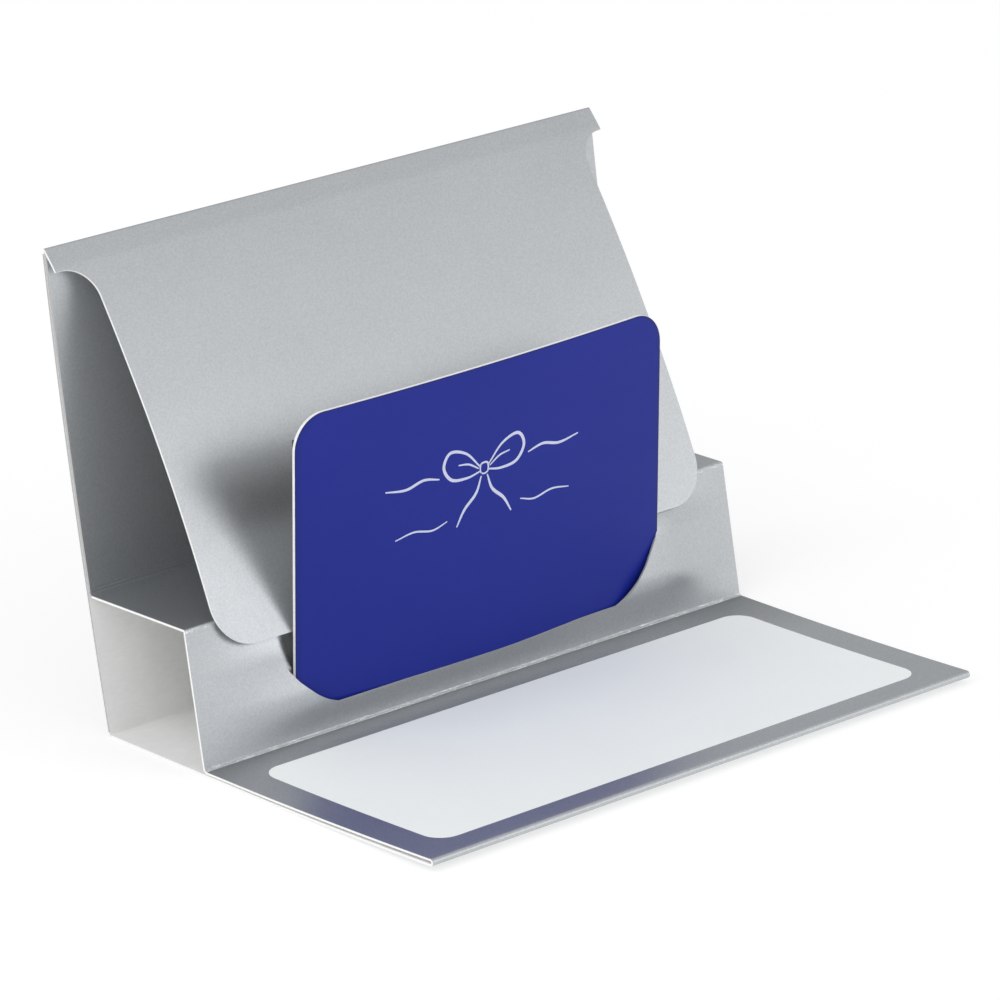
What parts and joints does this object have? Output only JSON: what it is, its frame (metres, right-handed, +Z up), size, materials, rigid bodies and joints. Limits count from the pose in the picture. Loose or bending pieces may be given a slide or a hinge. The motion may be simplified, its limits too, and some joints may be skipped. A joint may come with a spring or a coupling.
{
  "type": "gift card holder",
  "caption": "Fold-out paperboard gift card holder: flat base, pop-up riser box with a card slit, leaning back panel, spine and cover flap, holding a bowed plastic card.",
  "frame": {"origin": "centre of the bounding box in plan, at the floor under the base panel", "axes": "+X to the right along the folds, +Y to the rear, +Z up"},
  "size_m": [0.127, 0.0984, 0.0844],
  "materials": {
    "silver_board": "silver pearl coated paperboard, satin, white uncoated reverse",
    "label_paper": "matte off-white writing label",
    "glue": "dried clear adhesive film",
    "card_core": "white card core",
    "card_front": "blue printed film, soft gloss",
    "card_back": "white printed film, soft gloss",
    "mag_stripe": "dark magnetic stripe"
  },
  "bodies": {
    "base": {"base_panel": "silver_board", "front_fold": "silver_board", "message_panel": "silver_board", "base_glue": "glue", "writing_label": "label_paper"},
    "riser_front": {"riser_front": "silver_board"},
    "riser_top": {"riser_top": "silver_board"},
    "back": {"back_panel": "silver_board", "back_liner": "silver_board", "liner_glue": "glue"},
    "spine": {"spine": "silver_board"},
    "cover_flap": {"cover_flap": "silver_board"},
    "gift_card": {"card_core": "card_core", "card_front_film": "card_front", "card_back_film": "card_back", "magnetic_stripe": "mag_stripe"}
  },
  "joints": [
    {"name": "back_fold", "type": "hinge", "parent": "base", "child": "back", "pos_m": [0, 0.03321, 0.00025], "axis": [1, 0, 0], "range_deg": [-58, 0]},
    {"name": "riser_foot_fold", "type": "hinge", "parent": "base", "child": "riser_front", "pos_m": [0, 0.00836, 0.00075], "axis": [1, 0, 0], "range_deg": [-58, 0]},
    {"name": "riser_top_fold", "type": "hinge", "parent": "riser_front", "child": "riser_top", "pos_m": [0, 0.01317, 0.02498], "axis": [1, 0, 0], "range_deg": [0, 58]},
    {"name": "spine_fold", "type": "hinge", "parent": "back", "child": "spine", "pos_m": [0, 0.04879, 0.08401], "axis": [1, 0, 0], "range_deg": [0, 2.5]},
    {"name": "flap_fold", "type": "hinge", "parent": "spine", "child": "cover_flap", "pos_m": [0, 0.04592, 0.08082], "axis": [1, 0, 0], "range_deg": [0, 8.2]},
    {"name": "card_slide", "type": "slide", "parent": "riser_front", "child": "gift_card", "axis": [-0.0087, -0.0192, 0.9998], "range_m": [0, 0.05]}
  ],
  "couplings": [
    {"joint": "riser_foot_fold", "follows": "back_fold", "ratio": 1},
    {"joint": "riser_top_fold", "follows": "back_fold", "ratio": -1},
    {"joint": "spine_fold", "follows": "back_fold", "ratio": -0.04},
    {"joint": "flap_fold", "follows": "back_fold", "ratio": -0.137}
  ]
}
